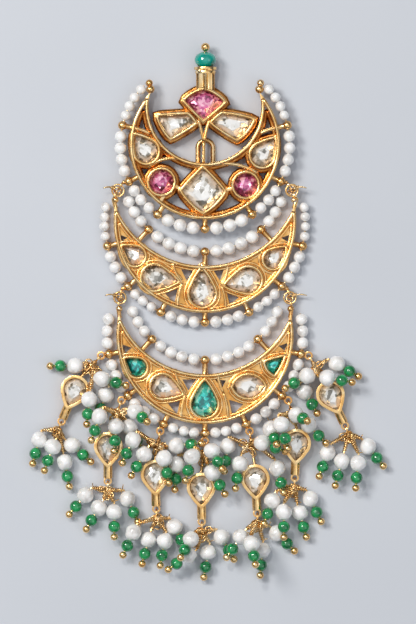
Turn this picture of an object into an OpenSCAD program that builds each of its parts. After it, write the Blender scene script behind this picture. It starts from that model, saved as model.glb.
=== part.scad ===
// Chandbali earring: three crescents set with stones, strung with pearls, over a beaded fringe.
// It lies face up: +X across, +Y towards the finial, +Z out of the face. All sizes are in mm.

/* [Crescents] */
// Outer radius of the top crescent
top_radius = 14.0; // [13.8:0.1:14.2]
// Outer radius of the middle crescent
middle_radius = 17.0; // [16.8:0.1:17.2]
// Outer radius of the bottom crescent
bottom_radius = 16.5; // [16.3:0.1:16.7]
// Thickness of the rim walls
rim_wall = 0.65; // [0.55:0.05:0.75]
// Thickness of the bezel walls and strips
bezel_wall = 0.55; // [0.45:0.05:0.6]
// Depth of a crescent, front to back
frame_depth = 2.6; // [2.4:0.1:2.8]
// Height of the top crescent above the ground, where the ear wire lies under it
top_lift = 1.05; // [1.0:0.05:1.2]
// Thickness of the back plates
plate = 0.5; // [0.4:0.05:0.6]

/* [Stones] */
// Gap between a stone and its bezel
stone_gap = 0.06; // [0.04:0.01:0.1]
// Height of a stone's table above its seat
stone_height = 1.35; // [1.1:0.05:1.5]
// Width of a stone's table, as a share of the stone
table_share = 0.56; // [0.4:0.02:0.7]

/* [Pearl strings] */
// Largest pearl of a string
string_pearl = 2.45; // [2.1:0.05:2.5]
// Wire of a string
string_wire = 0.3; // [0.25:0.05:0.35]
// Gap between an outer rim and the line of its pearls
string_offset = 1.75; // [1.7:0.05:1.8]
// Gap between the inner rim and the line of its pearls
inner_string_offset = 2.6; // [2.55:0.05:2.7]

/* [Links] */
// Radius of a jump ring, to the middle of its wire
ring_radius = 1.1; // [1.05:0.05:1.15]
// Radius of an eyelet, to the middle of its wire
eyelet_radius = 0.62; // [0.6:0.02:0.66]
// Radius of the wire of rings and eyelets
ring_wire = 0.17; // [0.16:0.01:0.18]

/* [Drops and fringe] */
// Radius of a drop's round end
drop_radius = 2.4; // [2.3:0.05:2.5]
// Length from the middle of the round end to the tip
drop_tip = 3.7; // [3.5:0.1:3.9]
// Pearl of the fringe
fringe_pearl = 3.0; // [2.8:0.1:3.0]
// Green bead of the fringe
green_bead = 2.3; // [2.1:0.1:2.4]
// Gold ball that ends a fringe pin
gold_ball = 1.4; // [1.3:0.1:1.5]
// Wire of a fringe pin
pin_wire = 0.36; // [0.3:0.02:0.4]

/* [Hidden] */

gold = "#e0a84a";
pearl_white = "#f3efe8";
clear_stone = "#dfe3e2";
pink_stone = "#b8407c";
emerald = "#129a83";
teal = "#1d9a86";
bead_green = "#1d6b3a";
round_fn = 32;
arc_steps = 8;

// The origin is the middle of the whole earring's box, on the ground
origin_x = 0.58;
origin_y = -0.34;

// The crescents' centres, biting circles and heights, one row each
CY = 0;
RADIUS = 1;
BITE_Y = 2;
BITE_R = 3;
BASE = 4;
TIERS = [
    [30.9, top_radius, 7.0, 10.5, top_lift],
    [16.5, middle_radius, 9.8, 18.0, 0],
    [-4.7, bottom_radius, 9.9, 17.1, 0]
];

// Geometry of outlines: a corner is [x, y, bulge], where the bulge is the height of the arc to
// the next corner over half its chord, and 0 is a straight side
function arc_point(p, q, bulge, share) =
    let (
        mid = (p + q) / 2,
        half = norm(q - p) / 2,
        along = (q - p) / (2 * half),
        out = [along.y, -along.x],
        radius = half * (1 + bulge * bulge) / (2 * bulge),
        centre = mid - out * (radius - bulge * half),
        sweep = 4 * atan(bulge),
        angle = (share - 0.5) * sweep
    )
    centre + radius * (out * cos(angle) + along * sin(angle));
function flat(p) = [p.x, p.y];
function side(p, q, steps) =
    let (parts = p[2] > 1.2 ? 4 * steps : steps)
    p[2] == 0 ? [flat(p)] :
    [for (k = [0:parts - 1]) k == 0 ? flat(p) : arc_point(flat(p), flat(q), p[2], k / parts)];
function outline(corners, steps = arc_steps) =
    [for (i = [0:len(corners) - 1])
        each side(corners[i], corners[(i + 1) % len(corners)], steps)];

// A pear's corners: its tip, and the two points where its sides touch the round end
function pear(centre, radius, tip) =
    let (
        axis = tip - centre,
        reach = norm(axis),
        turn = acos(radius / reach),
        heading = atan2(axis.y, axis.x),
        touch_1 = centre + radius * [cos(heading + turn), sin(heading + turn)],
        touch_2 = centre + radius * [cos(heading - turn), sin(heading - turn)]
    )
    [[tip.x, tip.y, 0.08], [touch_1.x, touch_1.y, tan((360 - 2 * turn) / 4)],
        [touch_2.x, touch_2.y, 0.08]];
function disc(centre, radius) =
    [[centre.x - radius, centre.y, 1], [centre.x + radius, centre.y, 1]];

// Moves an outline outwards by a distance, with mitred corners
function unit(v) = v / norm(v);
function grow(points, distance) =
    let (n = len(points))
    [for (i = [0:n - 1])
        let (
            before = unit(points[i] - points[(i + n - 1) % n]),
            after = unit(points[(i + 1) % n] - points[i]),
            normal = unit([before.y + after.y, -before.x - after.x]),
            stretch = min(2, 1 / max(0.3, normal.x * before.y - normal.y * before.x))
        )
        points[i] + normal * distance * stretch];
function total(points, i = 0) = i == len(points) - 1 ? points[i] : points[i] + total(points, i + 1);
function middle(points) = total(points) / len(points);

// Stone outlines of the crescents, each in its crescent's own frame
KITE = [[-4.1, 8.1, 0], [-0.3, 4.2, 0], [3.9, 7.8, 0.16], [-0.2, 10.4, 0.16]];
LEAF_LEFT = [[-9.0, 5.4, 0.14], [-6.4, 0.9, 0.04], [-1.6, 3.9, 0.1], [-3.2, 5.8, 0.02]];
LEAF_RIGHT = [[1.0, 4.0, 0.04], [6.0, 0.7, 0.14], [9.3, 4.7, 0.06], [3.2, 5.9, 0.1]];
RHOMB = [[-4.6, -8.6, 0.12], [-0.3, -12.9, 0.12], [3.9, -8.8, 0.04], [-0.4, -4.1, 0.04]];
OVAL = [[4.9, -9.6, 0.72], [11.4, -9.4, 0.72]];
TRILLION = [[15.0, -3.7, 0.06], [11.0, -4.8, 0.3], [13.0, -7.6, 0.1]];
STONE_OUTLINES = [
    [
        KITE, LEAF_LEFT, LEAF_RIGHT,
        pear([-10.9, -1.3], 2.4, [-13.3, 2.0]), pear([10.7, -2.0], 2.4, [13.2, 1.3]),
        disc([-8.1, -7.0], 2.55), disc([7.6, -7.6], 2.5), RHOMB
    ],
    [
        pear([-0.5, -13.4], 2.65, [-0.6, -8.4]), pear([-9.4, -10.4], 2.55, [-4.7, -11.2]),
        pear([8.1, -10.9], 2.6, [3.4, -12.0]), pear([-13.0, -6.4], 2.0, [-15.6, -4.4]),
        pear([12.7, -7.0], 1.95, [15.2, -4.6])
    ],
    [
        pear([-0.1, -12.8], 2.65, [0, -8.0]), pear([-7.9, -9.5], 2.4, [-4.0, -11.0]),
        OVAL, pear([-12.6, -6.0], 1.95, [-15.1, -4.1]), TRILLION
    ]
];

// One line per stone of the crescents: crescent, outline, facets a side, colour and name
STONE_TIER = 0;
STONE_OUTLINE = 1;
STONE_STEPS = 2;
STONE_TONE = 3;
STONE_NAME = 4;
STONES = [
    [0, 0, 3, pink_stone, "tier1_stone_kite"],
    [0, 1, 3, clear_stone, "tier1_stone_leaf_left"],
    [0, 2, 3, clear_stone, "tier1_stone_leaf_right"],
    [0, 3, 2, clear_stone, "tier1_stone_pear_left"],
    [0, 4, 2, clear_stone, "tier1_stone_pear_right"],
    [0, 5, 6, pink_stone, "tier1_stone_round_left"],
    [0, 6, 6, pink_stone, "tier1_stone_round_right"],
    [0, 7, 3, clear_stone, "tier1_stone_rhomb"],
    [1, 0, 2, clear_stone, "tier2_stone_centre"],
    [1, 1, 2, clear_stone, "tier2_stone_left"],
    [1, 2, 2, clear_stone, "tier2_stone_right"],
    [1, 3, 2, clear_stone, "tier2_stone_far_left"],
    [1, 4, 2, clear_stone, "tier2_stone_far_right"],
    [2, 0, 2, emerald, "tier3_stone_centre"],
    [2, 1, 2, clear_stone, "tier3_stone_left"],
    [2, 2, 6, clear_stone, "tier3_stone_right"],
    [2, 3, 2, emerald, "tier3_stone_far_left"],
    [2, 4, 4, emerald, "tier3_stone_far_right"]
];

// Strips between the settings, from corner to corner with a bulge
TIER1_STRIPS = [
    [[-10.6, -4.3, -0.3], [-3.0, -3.3, 0]],
    [[-3.0, -3.3, 0.1], [-0.6, -4.2, 0]],
    [[0.2, -4.1, -0.22], [9.9, -5.4, 0]],
    [[-13.2, 3.0, -0.1], [-10.3, 2.0, 0]],
    [[10.3, 2.0, -0.1], [13.2, 3.0, 0]],
    [[-1.3, 4.6, -0.06], [-0.3, 0.6, 0]],
    [[0.9, 4.6, 0.06], [-0.1, 0.6, 0]],
    [[-0.2, 0.9, 0], [-0.2, -3.8, 0]],
    [[-5.6, -7.7, 0], [-4.4, -8.4, 0]],
    [[3.7, -8.6, 0], [5.2, -8.2, 0]],
    [[-7.6, -9.6, 0], [-8.4, -10.8, 0]]
];
TIER2_STRIPS = [
    [[-6.0, -7.6, 0.16], [-4.2, -11.3, 0]],
    [[-4.2, -11.3, 0.1], [-5.1, -15.9, 0]],
    [[4.2, -7.8, -0.16], [3.1, -12.0, 0]],
    [[3.1, -12.0, -0.1], [3.9, -16.2, 0]]
];
TIER3_STRIPS = [
    [[-5.6, -6.2, 0.16], [-3.6, -10.9, 0]],
    [[-3.6, -10.9, 0.1], [-4.5, -15.5, 0]],
    [[2.4, -7.0, 0.1], [3.4, -10.6, 0]],
    [[3.4, -10.6, -0.1], [4.3, -15.6, 0]]
];
STRIPS = [TIER1_STRIPS, TIER2_STRIPS, TIER3_STRIPS];

// Pierced places of the back plates, as triangles
TIER2_PIERCED = [
    [[-16.1, -2.3], [-15.6, -3.6], [-14.4, -3.0]],
    [[15.9, -2.4], [14.2, -3.0], [15.5, -3.8]],
    [[-4.4, -8.9], [-1.9, -8.7], [-3.4, -11.0]],
    [[3.5, -9.0], [2.8, -11.0], [1.4, -8.8]],
    [[-7.4, -13.4], [-5.0, -12.2], [-5.7, -15.3]],
    [[6.6, -13.9], [4.6, -15.5], [4.0, -12.9]]
];
TIER3_PIERCED = [
    [[-15.4, -1.7], [-14.9, -3.3], [-13.6, -2.3]],
    [[15.4, -1.4], [13.8, -2.0], [14.9, -2.9]],
    [[-4.2, -8.2], [-1.6, -8.2], [-3.1, -10.3]],
    [[3.9, -8.4], [3.2, -10.0], [1.9, -8.2]],
    [[-6.9, -12.7], [-4.6, -12.0], [-5.2, -14.8]],
    [[7.2, -12.8], [5.1, -14.9], [4.5, -12.0]]
];
PIERCED = [[], TIER2_PIERCED, TIER3_PIERCED];

// Pearl strings: the angle of each stub on the right side, from the horn down, and the number of
// pearls before it. The left side mirrors it, and the last stub is the bottom one.
STUB_ANGLE = 0;
PEARLS_BEFORE = 1;
TIER1_STRING = [[13, 4], [-26, 4], [-56, 3], [-90, 3]];
TIER2_STRING = [[-14, 4], [-40, 3], [-64, 3], [-90, 3]];
TIER3_STRING = [[-11, 3], [-38, 3], [-65, 3], [-90, 3]];
INNER_STRING = [[-47, 3], [-90, 4]];

// One line per string: its crescent, rows, side of the rim, the angle where it starts and its name
TIER = 0;
ROWS = 1;
OUTWARDS = 2;
START = 3;
STRING_NAME = 4;
STRINGS = [
    [0, TIER1_STRING, true, 44, "tier1"],
    [1, TIER2_STRING, true, 11, "tier2"],
    [1, INNER_STRING, false, -19, "tier2_inner"],
    [2, TIER3_STRING, true, 13, "tier3"],
    [2, INNER_STRING, false, -18, "tier3_inner"]
];
string_z = 1.3;
stub_ball = 1.7;
stub_radius = 0.5;

function string_centre(s) =
    let (t = TIERS[s[TIER]])
    s[OUTWARDS] ? [0, t[CY]] : [0, t[CY] + t[BITE_Y]];
function string_radius(s) =
    let (t = TIERS[s[TIER]])
    s[OUTWARDS] ? t[RADIUS] + string_offset : t[BITE_R] - inner_string_offset;
function rim_radius(s) =
    let (t = TIERS[s[TIER]])
    s[OUTWARDS] ? t[RADIUS] : t[BITE_R];
function string_height(s) = TIERS[s[TIER]][BASE] + string_z;
function polar(radius, angle) = radius * [cos(angle), sin(angle)];

// Pearls of one interval, evenly spread between two stubs: [angle, diameter]
function interval(radius, from, to, count, first) =
    let (
        ball = 180 / PI * (stub_ball / 2 + 0.12) / radius,
        near = first ? from : from - ball,
        far = to + ball,
        pitch = (near - far) / count,
        room = radius * pitch * PI / 180 - 0.12
    )
    [for (k = [0:count - 1])
        [near - pitch * (k + 0.5), min(room, string_pearl * (1 - 0.05 * abs(sin(k * 137 + from * 31))))]];
function string_pearls(s) =
    let (rows = s[ROWS], radius = string_radius(s))
    [for (i = [0:len(rows) - 1])
        each interval(
            radius, i == 0 ? s[START] : rows[i - 1][STUB_ANGLE], rows[i][STUB_ANGLE],
            rows[i][PEARLS_BEFORE], i == 0
        )];

// Jump rings: the upper crescent of the pair, its side and its name
LINK_TIER = 0;
LINK_SIDE = 1;
LINK_NAME = 2;
LINKS = [
    [0, -1, "upper_link_left"], [0, 1, "upper_link_right"],
    [1, -1, "lower_link_left"], [1, 1, "lower_link_right"]
];
link_angle = [-26, -40];
link_height = [2.15, 1.3];
eyelet_reach = 1.65;
horn_ball = 1.2;

function flip(point, side) = [point.x * side, point.y];
function horn_tip(i) =
    let (
        t = TIERS[i],
        y = (t[BITE_Y] * t[BITE_Y] + t[RADIUS] * t[RADIUS] - t[BITE_R] * t[BITE_R]) / (2 * t[BITE_Y])
    )
    [sqrt(t[RADIUS] * t[RADIUS] - y * y), t[CY] + y];
// The eyelet below a crescent, on its right side, and the one on the horn that it is linked to
function upper_eyelet(i) =
    [0, TIERS[i][CY]] + polar(TIERS[i][RADIUS] + string_offset + eyelet_reach, link_angle[i]);
function lower_eyelet(i) =
    let (up = upper_eyelet(i), goal = horn_tip(i + 1) + [0.1, 1.7])
    up + 2 * ring_radius * unit(goal - up);

// Drops, from left to right: the angle of the stub, the middle of the round end and the heading
STUB = 0;
DROP_X = 1;
DROP_Y = 2;
HEADING = 3;
DROPS = [
    [191, -24.2, -14.8, -113],
    [218, -18.0, -25.4, -91],
    [245, -9.3, -30.6, -88],
    [270, -0.7, -33.0, -89],
    [295, 9.4, -31.4, -87],
    [322, 17.1, -24.8, -93],
    [349, 23.4, -15.7, -65]
];
drop_base = 0.2;
drop_depth = 2.2;
wire_z = 1.3;
tube_radius = 0.85;
tube_end = 5.9;
shank_radius = 0.28;
bunch_ring = 0.78;
eyelet_step = 0.75;
root_ball = 0.8;
bend_lap = 0.08;
root_sides = 10;
pin_sides = 8;

function deep(point, z = wire_z) = [point.x, point.y, z];
function drop_centre(d) = [d[DROP_X], d[DROP_Y]];
function drop_heading(d) = polar(1, d[HEADING]);
function drop_top(d) = drop_centre(d) - drop_radius * drop_heading(d);
function stub_centre(d) = [0, TIERS[2][CY]] + polar(bottom_radius + string_offset, d[STUB]);
function stub_eyelet(d) = stub_centre(d) + polar(1.45, d[STUB]);
function shank_heading(d) = unit(drop_top(d) - stub_eyelet(d));
function bail(d) = stub_eyelet(d) + eyelet_step * shank_heading(d);
function upper_root(d) = bail(d) + 1.75 * shank_heading(d);
function foot_eyelet(d) = drop_centre(d) + (tube_end + 0.55) * drop_heading(d);
function lower_ring(d) = foot_eyelet(d) + eyelet_step * drop_heading(d);
function lower_root(d) = lower_ring(d) + (eyelet_radius + 0.3) * drop_heading(d);

// Fringe pins, four to a bunch and the bunches in the order of the drops: the pearl's place, the
// heading of the pin through it, and how steeply that pin points up
PEARL_X = 0;
PEARL_Y = 1;
PIN_HEADING = 2;
PIN_RISE = 3;
UPPER_BUNCHES = [
    [[-24.2, -10.4, 180, 0], [-19.2, -12.8, -15, 0], [-21.5, -16.6, -96, 0], [-18.5, -15.8, -110, 0]],
    [[-19.5, -19.8, -110, 0], [-16.5, -21.6, -95, 0], [-14.0, -21.8, -60, 0], [-13.0, -18.8, -40, 50]],
    [[-11.3, -26.8, -121, 0], [-13.4, -24.2, -115, 0], [-7.6, -27.6, -79, 0], [-5.3, -25.2, 5, 0]],
    [[-5.2, -28.8, -95, 0], [-2.4, -27.2, -105, 0], [1.4, -30.2, -60, 0], [1.3, -26.2, -60, 35]],
    [[4.2, -25.4, -97, 0], [6.5, -28.6, -100, 0], [10.6, -24.7, -20, 0], [13.5, -29.5, -75, 0]],
    [[12.3, -22.1, -70, 50], [14.2, -21.2, -75, 0], [19.3, -21.4, -46, 0], [17.0, -19.4, -30, 60]],
    [[24.6, -10.0, -30, 0], [22.8, -12.6, -10, 0], [19.0, -12.2, -150, 0], [18.6, -15.2, -60, 0]]
];
LOWER_BUNCHES = [
    [[-30.9, -24.1, -105, 0], [-28.3, -25.5, -110, 0], [-26.1, -28.3, -80, 0], [-24.8, -25.2, -41, 0]],
    [[-22.3, -34.5, -130, 0], [-19.8, -36.8, -120, 0], [-16.9, -37.6, -90, 0], [-14.4, -35.2, -66, 0]],
    [[-13.3, -41.4, -115, 0], [-10.5, -42.8, -105, 0], [-7.5, -43.0, -100, 0], [-5.7, -40.4, -62, 0]],
    [[-3.0, -45.6, -145, 0], [0.6, -45.2, -100, 0], [3.1, -42.4, -60, 0], [-2.6, -42.6, -120, 35]],
    [[6.7, -42.2, -125, 0], [10.7, -44.8, -95, 0], [13.4, -41.6, -45, 0], [8.7, -43.4, -80, 35]],
    [[12.6, -35.4, -110, 0], [14.7, -37.6, -90, 0], [17.7, -37.8, -75, 0], [19.7, -35.2, -65, 0]],
    [[22.9, -26.6, -110, 0], [25.5, -28.2, -105, 0], [28.5, -28.5, -95, 0], [30.4, -25.4, -52, 0]]
];
clearance = 0.1;
rest_gap = 0.05;

// The balls of a pin: its pearl, green bead, gold ball and bend, and places on the wire before the
// bend. A row is a ball's place, its radius and the share of the pearl's height that it rises by.
BALL_RADIUS = 3;
BALL_SHARE = 4;
PIN_SHARES = [0.4, 0.6, 0.8];
root_reach = 1.25;
function pin_way(pin) =
    [cos(pin[PIN_HEADING]) * cos(pin[PIN_RISE]), sin(pin[PIN_HEADING]) * cos(pin[PIN_RISE]),
        sin(pin[PIN_RISE])];
function pin_pearl(pin, z) = [pin[PEARL_X], pin[PEARL_Y], z];
green_reach = (fringe_pearl + green_bead) / 2 + clearance;
ball_reach = fringe_pearl / 2 + green_bead + gold_ball / 2 + clearance + rest_gap;
entry_reach = fringe_pearl / 2 + 0.3;
function pin_ball(point, radius, share = 1) = [point.x, point.y, point.z, radius, share];
function pin_balls(pin, root) =
    let (p = pin_pearl(pin, 0), way = pin_way(pin), bend = p - entry_reach * way)
    concat(
        [
            pin_ball(p, fringe_pearl / 2),
            pin_ball(p + green_reach * way, green_bead / 2),
            pin_ball(p + ball_reach * way, gold_ball / 2),
            pin_ball(bend, pin_wire / 2 + bend_lap)
        ],
        [for (share = PIN_SHARES) if (share * norm(flat(bend - root)) > root_reach)
            pin_ball(root + share * (bend - root), pin_wire / 2, share)]
    );
function raised(ball, z) = [ball.x, ball.y, ball.z + ball[BALL_SHARE] * z, ball[BALL_RADIUS]];

// The spans of pearl height that one laid ball forbids to a pin, as [from, to]
function forbidden(a, b) =
    let (
        reach = a[BALL_RADIUS] + b[BALL_RADIUS] + clearance,
        apart = norm([a.x - b.x, a.y - b.y]),
        half = apart < reach ? sqrt(reach * reach - apart * apart) : 0
    )
    [(b.z - a.z - half) / a[BALL_SHARE], (b.z - a.z + half) / a[BALL_SHARE]];
function inside(z, span) = z > span[0] + 0.001 && z < span[1] - 0.001;
// The lowest pearl height at which a pin's balls clear the ground and all that was laid before
function pin_height(balls, laid) =
    let (
        ground = max([for (a = balls) (a[BALL_RADIUS] - a.z) / a[BALL_SHARE]]),
        spans = [for (a = balls, b = laid) let (span = forbidden(a, b)) if (span[1] > span[0]) span],
        tries = concat([ground], [for (span = spans) if (span[1] > ground) span[1]])
    )
    min([for (z = tries) if (len([for (span = spans) if (inside(z, span)) 1]) == 0) z]);
function lay_pins(pins, laid, i = 0) =
    i == len(pins) ? [] :
    let (z = pin_height(pins[i], laid))
    concat([z], lay_pins(pins, concat(laid, [for (b = pins[i]) raised(b, z)]), i + 1));

// What the fringe is laid over: balls along each drop, its rings, and the lowest string's pearls
function way_balls(p, q, radius, steps) =
    [for (k = [0:steps]) pin_ball(deep(p + (q - p) * k / steps), radius)];
function drop_balls(d) =
    let (
        h = drop_heading(d),
        body = drop_depth / 2 + 0.1,
        edge = 0.4,
        inset = 0.3,
        edge_z = drop_base + drop_depth - inset,
        line = outline(pear(drop_centre(d), drop_radius, drop_centre(d) + drop_tip * h), 3)
    )
    concat(
        [for (p = grow(line, bezel_wall / 2 - body)) pin_ball(deep(p), body)],
        [for (p = grow(line, bezel_wall / 2 - inset)) pin_ball(deep(p, edge_z), edge)],
        [pin_ball(deep(drop_centre(d)), body)],
        way_balls(bail(d), drop_top(d), shank_radius + 0.1, 14),
        way_balls(drop_centre(d) + 3 * h, drop_centre(d) + tube_end * h, tube_radius, 5),
        [for (p = [stub_eyelet(d), bail(d), foot_eyelet(d), lower_ring(d)])
            pin_ball(deep(p), eyelet_radius + ring_wire)],
        [pin_ball(deep(upper_root(d)), bunch_ring + ring_wire)],
        [pin_ball(deep(stub_centre(d)), stub_ball / 2)]
    );
function string_balls(s) =
    [for (p = string_pearls(s), side = [-1, 1])
        let (place = string_centre(s) + flip(polar(string_radius(s), p[0]), side))
        pin_ball(deep(place, string_height(s)), p[1] / 2)];
LAID_BEFORE = concat([for (d = DROPS) each drop_balls(d)], string_balls(STRINGS[3]));
ALL_PINS = concat(
    [for (k = [0:len(DROPS) - 1], pin = LOWER_BUNCHES[k]) pin_balls(pin, deep(lower_root(DROPS[k])))],
    [for (k = [0:len(DROPS) - 1], pin = UPPER_BUNCHES[k]) pin_balls(pin, deep(upper_root(DROPS[k])))]
);
PIN_HEIGHTS = lay_pins(ALL_PINS, LAID_BEFORE);
function fringe_pins(row) = row == "lower" ? LOWER_BUNCHES : UPPER_BUNCHES;
function fringe_height(row, bunch, pin) =
    PIN_HEIGHTS[4 * (bunch + (row == "lower" ? 0 : len(LOWER_BUNCHES))) + pin];

// A straight rod between two points, round unless its number of sides is given
module rod(p, q, radius, sides = round_fn) {
    v = q - p;
    length = norm(v);
    translate(p)
        rotate([0, acos(v.z / length), atan2(v.y, v.x)])
            cylinder(h = length, r = radius, $fn = sides);
}

// A ring of round wire about the origin, in the XY plane
module wire_ring(radius, wire) {
    rotate_extrude($fn = round_fn)
        translate([radius, 0])
            circle(r = wire, $fn = round_fn);
}

// An eyelet of flat wire about the origin, in the XY plane
module eyelet(radius) {
    difference() {
        cylinder(h = 2 * ring_wire, r = radius + ring_wire, center = true, $fn = round_fn);
        cylinder(h = 4 * ring_wire, r = radius - ring_wire, center = true, $fn = round_fn);
    }
}

// An eyelet that stands on edge, in the plane of its heading and the vertical
module standing_eyelet(centre, heading) {
    translate(centre)
        rotate([90, 0, heading])
            eyelet(eyelet_radius);
}

module slab(points, base, height) {
    translate([0, 0, base])
        linear_extrude(height)
            polygon(points);
}

// A bezel: a wall round the outline, closed by a back plate
module bezel(corners, base, depth) {
    line = outline(corners);
    difference() {
        slab(grow(line, bezel_wall / 2), base, depth);
        slab(grow(line, -bezel_wall / 2), base + plate, depth);
    }
}

// A thin upright strip along an arc or a line
module strip(ends, base, depth) {
    line = ends[0][2] == 0 ? [flat(ends[0]), flat(ends[1])] :
        [for (k = [0:arc_steps])
            k == 0 ? flat(ends[0]) : k == arc_steps ? flat(ends[1]) :
            arc_point(flat(ends[0]), flat(ends[1]), ends[0][2], k / arc_steps)];
    n = len(line);
    normals = [for (i = [0:n - 1])
        let (d = unit(line[min(i + 1, n - 1)] - line[max(i - 1, 0)])) [d.y, -d.x]];
    left = [for (i = [0:n - 1]) line[i] + normals[i] * bezel_wall / 2];
    right = [for (i = [n - 1:-1:0]) line[i] - normals[i] * bezel_wall / 2];
    slab(concat(left, right), base, depth);
}

// The rim of a crescent: a disc less the biting circle, hollow inside
module rims(t, depth) {
    difference() {
        cylinder(h = depth, r = t[RADIUS], $fn = 96);
        translate([0, t[BITE_Y], -1])
            cylinder(h = depth + 2, r = t[BITE_R], $fn = 96);
        difference() {
            translate([0, 0, -1])
                cylinder(h = depth + 2, r = t[RADIUS] - rim_wall, $fn = 96);
            translate([0, t[BITE_Y], -2])
                cylinder(h = depth + 4, r = t[BITE_R] + rim_wall, $fn = 96);
        }
    }
}

module pierced_plate(t, holes) {
    difference() {
        cylinder(h = plate, r = t[RADIUS] - rim_wall / 2, $fn = 96);
        translate([0, t[BITE_Y], -1])
            cylinder(h = plate + 2, r = t[BITE_R] + rim_wall / 2, $fn = 96);
        for (hole = holes)
            slab(hole, -1, plate + 2);
    }
}

// The stubs of one string: a post on the rim and a drilled ball on the pearl line
module stubs(s) {
    direction = s[OUTWARDS] ? 1 : -1;
    rim = rim_radius(s) - direction * rim_wall / 2;
    for (row = s[ROWS], mirrored = row[STUB_ANGLE] == -90 ? [false] : [false, true]) {
        angle = mirrored ? 180 - row[STUB_ANGLE] : row[STUB_ANGLE];
        translate([string_centre(s).x, string_centre(s).y, string_height(s)])
            rotate([0, 0, angle])
                difference() {
                    union() {
                        rod([rim, 0, 0], [string_radius(s), 0, 0], stub_radius);
                        translate([string_radius(s), 0, 0])
                            rotate([0, -90, 0])
                                rotate([90, 0, 0])
                                    sphere(d = stub_ball, $fn = round_fn);
                    }
                    translate([string_radius(s), 2, 0])
                        rotate([90, 0, 0])
                            cylinder(h = 4, r = string_wire / 2 + 0.12, $fn = round_fn);
                }
    }
}

// An eyelet that stands on edge for a jump ring, with the rod that carries it
module link_eyelet(place, ring_middle, foot, z) {
    way = unit(place - ring_middle);
    standing_eyelet(deep(place, z), atan2(way.y, way.x));
    rod(deep(place + eyelet_radius * way, z), deep(foot, z), stub_radius * 0.8);
}

module link_eyelets(i) {
    for (side = [-1, 1]) {
        if (i < 2) {
            middle_point = (upper_eyelet(i) + lower_eyelet(i)) / 2;
            foot = [0, TIERS[i][CY]] + polar(TIERS[i][RADIUS] + string_offset + 0.4, link_angle[i]);
            link_eyelet(flip(upper_eyelet(i), side), flip(middle_point, side), flip(foot, side),
                link_height[i]);
        }
        if (i > 0) {
            middle_point = (upper_eyelet(i - 1) + lower_eyelet(i - 1)) / 2;
            foot = horn_tip(i) - [0.15, 0.7];
            link_eyelet(flip(lower_eyelet(i - 1), side), flip(middle_point, side), flip(foot, side),
                link_height[i - 1]);
            ball_at = (foot + [0, 0.75] + lower_eyelet(i - 1)) / 2;
            translate(deep(flip(ball_at, side), link_height[i - 1]))
                sphere(d = horn_ball, $fn = round_fn);
        }
    }
}

// The ball stacks on the top crescent's horns
module horn_balls() {
    tip = horn_tip(0);
    for (side = [-1, 1], ball = [[0.0, 0.65, 1.6], [0.2, 1.8, 1.35]])
        translate(deep(flip(tip + [ball.x, ball.y], side), top_lift + string_z))
            sphere(d = ball[2], $fn = round_fn);
}

// The fluted cup that holds the finial bead, with a hole for the bead's pin
cup_foot = 10.1;
cup_mouth = 14.1;
cup_z = top_lift + string_z;
finial_x = 0.1;
bead_y = 15.75;
bead_radius = 2.05;
bead_half = 1.55;
pin_radius = 0.2;
module finial_axis(y) {
    translate([finial_x, TIERS[0][CY] + y, cup_z])
        rotate([-90, 0, 0])
            children();
}
module cup() {
    flutes = 8;
    length = cup_mouth - cup_foot;
    sides = [for (k = [0:8 * flutes - 1]) (1.5 + 0.22 * cos(k * 45)) *
        [cos(k * 45 / flutes), sin(k * 45 / flutes)]];
    finial_axis(cup_foot)
        difference() {
            union() {
                linear_extrude(length)
                    polygon(sides);
                translate([0, 0, length - 0.9])
                    cylinder(h = 0.5, r = 1.9, $fn = round_fn);
                translate([0, 0, length - 0.2])
                    cylinder(h = 0.5, r = 2.1, $fn = round_fn);
            }
            translate([0, 0, length])
                cylinder(h = 1, r = 1.65, $fn = round_fn);
            translate([0, 0, length - 2])
                cylinder(h = 4, r = pin_radius + 0.12, $fn = round_fn);
        }
}

// The flat eyelets that the drops hang from
module drop_eyelets() {
    for (d = DROPS)
        translate(deep(stub_eyelet(d)))
            eyelet(eyelet_radius);
}

module tier(i) {
    t = TIERS[i];
    color(gold) {
        link_eyelets(i);
        if (i == 0) {
            horn_balls();
            cup();
        }
        if (i == 2)
            drop_eyelets();
        translate([0, t[CY], t[BASE]]) {
            rims(t, frame_depth);
            for (corners = STONE_OUTLINES[i])
                bezel(corners, 0, frame_depth - 0.1);
            for (ends = STRIPS[i])
                strip(ends, 0, frame_depth - 0.3);
            if (i > 0)
                pierced_plate(t, PIERCED[i]);
        }
        for (s = STRINGS)
            if (s[TIER] == i)
                stubs(s);
    }
}

// A cut stone: its outline, drawn in from the bezel, with a flat table over sloping facets
module cut_stone(corners, seat, steps, tone) {
    girdle = grow(outline(corners, steps), -bezel_wall / 2 - stone_gap);
    n = len(girdle);
    half = floor(n / 2);
    centre = middle(girdle);
    lower = [for (p = girdle) [p.x, p.y, seat]];
    upper = [for (p = girdle) [p.x, p.y, seat + stone_height * 0.35]];
    table = [for (j = [0:half - 1])
        let (p = centre + table_share * ((girdle[2 * j] + girdle[2 * j + 1]) / 2 - centre))
        [p.x, p.y, seat + stone_height]];
    faces = concat(
        [[for (i = [0:n - 1]) i]],
        [for (i = [0:n - 1]) [n + i, n + (i + 1) % n, (i + 1) % n, i]],
        [for (j = [0:half - 1]) [2 * n + j, n + 2 * j + 1, n + 2 * j]],
        [for (j = [0:half - 1]) [2 * n + j, 2 * n + (j + 1) % half, n + 2 * j + 1]],
        [for (j = [0:half - 1])
            [2 * n + (j + 1) % half, n + (2 * j + 2) % n, n + 2 * j + 1]],
        [[for (j = [half - 1:-1:0]) 2 * n + j]]
    );
    color(tone)
        polyhedron(points = concat(lower, upper, table), faces = faces);
}

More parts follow.
